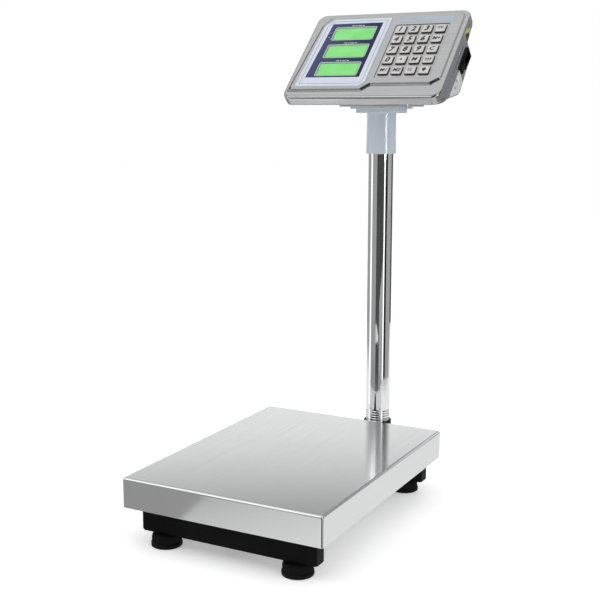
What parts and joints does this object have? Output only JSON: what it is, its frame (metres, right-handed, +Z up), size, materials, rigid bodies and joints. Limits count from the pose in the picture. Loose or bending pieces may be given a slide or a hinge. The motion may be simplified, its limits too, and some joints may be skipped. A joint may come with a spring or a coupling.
{
  "type": "platform scale",
  "caption": "Price-computing platform scale: a stainless pan over a load cell frame, a chromed column behind it, and a tilted swivelling head with displays and keypad.",
  "frame": {"origin": "centre of the bounding box, on the surface that the foot pads stand on", "axes": "+X to the operator's right, +Y to the back (the column's side), +Z up"},
  "size_m": [0.3, 0.5714, 0.7295],
  "materials": {
    "brushed_stainless": "brushed",
    "chrome": "polished",
    "black_paint": "satin",
    "black_rubber": "matte",
    "cable_jacket": "matte",
    "zinc_steel": "satin",
    "cast_aluminium": "satin",
    "grey_plastic": "satin",
    "display_film": "satin",
    "green_lcd": "gloss",
    "key_metal": "satin",
    "circuit_board": "satin",
    "battery_case": "matte",
    "black_plastic": "satin"
  },
  "bodies": {
    "base": {"front_crossbeam": "black_paint", "rear_crossbeam": "black_paint", "base_spine": "black_paint", "load_cell": "cast_aluminium", "cell_bolt_rear_1": "zinc_steel", "cell_bolt_rear_2": "zinc_steel", "cell_bolt_front_1": "zinc_steel", "cell_bolt_front_2": "zinc_steel", "top_frame": "cast_aluminium", "pan_pad_front_left": "black_rubber", "pan_pad_front_right": "black_rubber", "pan_pad_rear_left": "black_rubber", "pan_pad_rear_right": "black_rubber", "column_tube": "chrome", "column_collar": "black_rubber", "load_cell_cable": "cable_jacket"},
    "pan": {"pan_cover": "brushed_stainless"},
    "head": {"swivel_sleeve": "grey_plastic", "sleeve_screw": "zinc_steel", "head_bracket": "brushed_stainless", "front_shell": "brushed_stainless", "rear_shell": "brushed_stainless", "display_panel": "display_film", "lcd_weight": "green_lcd", "lcd_unit_price": "green_lcd", "lcd_total_price": "green_lcd", "keypad_plate": "key_metal", "main_board": "circuit_board", "battery": "battery_case", "power_inlet": "black_plastic"},
    "power_switch": {"power_rocker": "black_plastic"},
    "foot_stud_front_left": {"foot_stud_front_left": "zinc_steel"},
    "foot_front_left": {"foot_pad_front_left": "black_rubber"},
    "foot_stud_front_right": {"foot_stud_front_right": "zinc_steel"},
    "foot_front_right": {"foot_pad_front_right": "black_rubber"},
    "foot_stud_rear_left": {"foot_stud_rear_left": "zinc_steel"},
    "foot_rear_left": {"foot_pad_rear_left": "black_rubber"},
    "foot_stud_rear_right": {"foot_stud_rear_right": "zinc_steel"},
    "foot_rear_right": {"foot_pad_rear_right": "black_rubber"},
    "key_1": {"key_1": "key_metal"},
    "key_2": {"key_2": "key_metal"},
    "key_3": {"key_3": "key_metal"},
    "key_tare": {"key_tare": "key_metal"},
    "key_4": {"key_4": "key_metal"},
    "key_5": {"key_5": "key_metal"},
    "key_6": {"key_6": "key_metal"},
    "key_add": {"key_add": "key_metal"},
    "key_7": {"key_7": "key_metal"},
    "key_8": {"key_8": "key_metal"},
    "key_9": {"key_9": "key_metal"},
    "key_clear": {"key_clear": "key_metal"},
    "key_0": {"key_0": "key_metal"},
    "key_point": {"key_point": "key_metal"},
    "key_memory": {"key_memory": "key_metal"},
    "key_zero": {"key_zero": "key_metal"},
    "key_preset_1": {"key_preset_1": "key_metal"},
    "key_preset_2": {"key_preset_2": "key_metal"},
    "key_total": {"key_total": "key_metal"},
    "key_light": {"key_light": "key_metal"}
  },
  "joints": [
    {"name": "pan_lift", "type": "slide", "parent": "base", "child": "pan", "axis": [0, 0, 1], "range_m": [0, 0.08]},
    {"name": "head_swivel", "type": "hinge", "parent": "base", "child": "head", "pos_m": [0, 0.21621, 0.54], "axis": [0, 0, 1], "range_deg": [-170, 170]},
    {"name": "power_switch_rock", "type": "hinge", "parent": "head", "child": "power_switch", "pos_m": [0.1274, 0.23346, 0.64051], "axis": [0, -0.6972, 0.7169], "range_deg": [0, 16]},
    {"name": "foot_front_left_travel", "type": "slide", "parent": "base", "child": "foot_stud_front_left", "axis": [0, 0, -1], "range_m": [0, 0.009]},
    {"name": "foot_front_left_turn", "type": "hinge", "parent": "foot_stud_front_left", "child": "foot_front_left", "pos_m": [-0.1, -0.2557, 0.009], "axis": [0, 0, -1], "range_deg": [0, 2160]},
    {"name": "foot_front_right_travel", "type": "slide", "parent": "base", "child": "foot_stud_front_right", "axis": [0, 0, -1], "range_m": [0, 0.009]},
    {"name": "foot_front_right_turn", "type": "hinge", "parent": "foot_stud_front_right", "child": "foot_front_right", "pos_m": [0.1, -0.2557, 0.009], "axis": [0, 0, -1], "range_deg": [0, 2160]},
    {"name": "foot_rear_left_travel", "type": "slide", "parent": "base", "child": "foot_stud_rear_left", "axis": [0, 0, -1], "range_m": [0, 0.009]},
    {"name": "foot_rear_left_turn", "type": "hinge", "parent": "foot_stud_rear_left", "child": "foot_rear_left", "pos_m": [-0.1, 0.0933, 0.009], "axis": [0, 0, -1], "range_deg": [0, 2160]},
    {"name": "foot_rear_right_travel", "type": "slide", "parent": "base", "child": "foot_stud_rear_right", "axis": [0, 0, -1], "range_m": [0, 0.009]},
    {"name": "foot_rear_right_turn", "type": "hinge", "parent": "foot_stud_rear_right", "child": "foot_rear_right", "pos_m": [0.1, 0.0933, 0.009], "axis": [0, 0, -1], "range_deg": [0, 2160]},
    {"name": "key_1_press", "type": "slide", "parent": "head", "child": "key_1", "axis": [0, 0.6972, -0.7169], "range_m": [0, 0.0012], "stiffness_N_per_m": 1000, "springref_m": -0.0005},
    {"name": "key_2_press", "type": "slide", "parent": "head", "child": "key_2", "axis": [0, 0.6972, -0.7169], "range_m": [0, 0.0012], "stiffness_N_per_m": 1000, "springref_m": -0.0005},
    {"name": "key_3_press", "type": "slide", "parent": "head", "child": "key_3", "axis": [0, 0.6972, -0.7169], "range_m": [0, 0.0012], "stiffness_N_per_m": 1000, "springref_m": -0.0005},
    {"name": "key_tare_press", "type": "slide", "parent": "head", "child": "key_tare", "axis": [0, 0.6972, -0.7169], "range_m": [0, 0.0012], "stiffness_N_per_m": 1000, "springref_m": -0.0005},
    {"name": "key_4_press", "type": "slide", "parent": "head", "child": "key_4", "axis": [0, 0.6972, -0.7169], "range_m": [0, 0.0012], "stiffness_N_per_m": 1000, "springref_m": -0.0005},
    {"name": "key_5_press", "type": "slide", "parent": "head", "child": "key_5", "axis": [0, 0.6972, -0.7169], "range_m": [0, 0.0012], "stiffness_N_per_m": 1000, "springref_m": -0.0005},
    {"name": "key_6_press", "type": "slide", "parent": "head", "child": "key_6", "axis": [0, 0.6972, -0.7169], "range_m": [0, 0.0012], "stiffness_N_per_m": 1000, "springref_m": -0.0005},
    {"name": "key_add_press", "type": "slide", "parent": "head", "child": "key_add", "axis": [0, 0.6972, -0.7169], "range_m": [0, 0.0012], "stiffness_N_per_m": 1000, "springref_m": -0.0005},
    {"name": "key_7_press", "type": "slide", "parent": "head", "child": "key_7", "axis": [0, 0.6972, -0.7169], "range_m": [0, 0.0012], "stiffness_N_per_m": 1000, "springref_m": -0.0005},
    {"name": "key_8_press", "type": "slide", "parent": "head", "child": "key_8", "axis": [0, 0.6972, -0.7169], "range_m": [0, 0.0012], "stiffness_N_per_m": 1000, "springref_m": -0.0005},
    {"name": "key_9_press", "type": "slide", "parent": "head", "child": "key_9", "axis": [0, 0.6972, -0.7169], "range_m": [0, 0.0012], "stiffness_N_per_m": 1000, "springref_m": -0.0005},
    {"name": "key_clear_press", "type": "slide", "parent": "head", "child": "key_clear", "axis": [0, 0.6972, -0.7169], "range_m": [0, 0.0012], "stiffness_N_per_m": 1000, "springref_m": -0.0005},
    {"name": "key_0_press", "type": "slide", "parent": "head", "child": "key_0", "axis": [0, 0.6972, -0.7169], "range_m": [0, 0.0012], "stiffness_N_per_m": 1000, "springref_m": -0.0005},
    {"name": "key_point_press", "type": "slide", "parent": "head", "child": "key_point", "axis": [0, 0.6972, -0.7169], "range_m": [0, 0.0012], "stiffness_N_per_m": 1000, "springref_m": -0.0005},
    {"name": "key_memory_press", "type": "slide", "parent": "head", "child": "key_memory", "axis": [0, 0.6972, -0.7169], "range_m": [0, 0.0012], "stiffness_N_per_m": 1000, "springref_m": -0.0005},
    {"name": "key_zero_press", "type": "slide", "parent": "head", "child": "key_zero", "axis": [0, 0.6972, -0.7169], "range_m": [0, 0.0012], "stiffness_N_per_m": 1000, "springref_m": -0.0005},
    {"name": "key_preset_1_press", "type": "slide", "parent": "head", "child": "key_preset_1", "axis": [0, 0.6972, -0.7169], "range_m": [0, 0.0012], "stiffness_N_per_m": 1000, "springref_m": -0.0005},
    {"name": "key_preset_2_press", "type": "slide", "parent": "head", "child": "key_preset_2", "axis": [0, 0.6972, -0.7169], "range_m": [0, 0.0012], "stiffness_N_per_m": 1000, "springref_m": -0.0005},
    {"name": "key_total_press", "type": "slide", "parent": "head", "child": "key_total", "axis": [0, 0.6972, -0.7169], "range_m": [0, 0.0012], "stiffness_N_per_m": 1000, "springref_m": -0.0005},
    {"name": "key_light_press", "type": "slide", "parent": "head", "child": "key_light", "axis": [0, 0.6972, -0.7169], "range_m": [0, 0.0012], "stiffness_N_per_m": 1000, "springref_m": -0.0005}
  ],
  "couplings": [
    {"joint": "foot_front_left_turn", "follows": "foot_front_left_travel", "rad_per_m": 4188.8},
    {"joint": "foot_front_right_turn", "follows": "foot_front_right_travel", "rad_per_m": 4188.8},
    {"joint": "foot_rear_left_turn", "follows": "foot_rear_left_travel", "rad_per_m": 4188.8},
    {"joint": "foot_rear_right_turn", "follows": "foot_rear_right_travel", "rad_per_m": 4188.8}
  ]
}
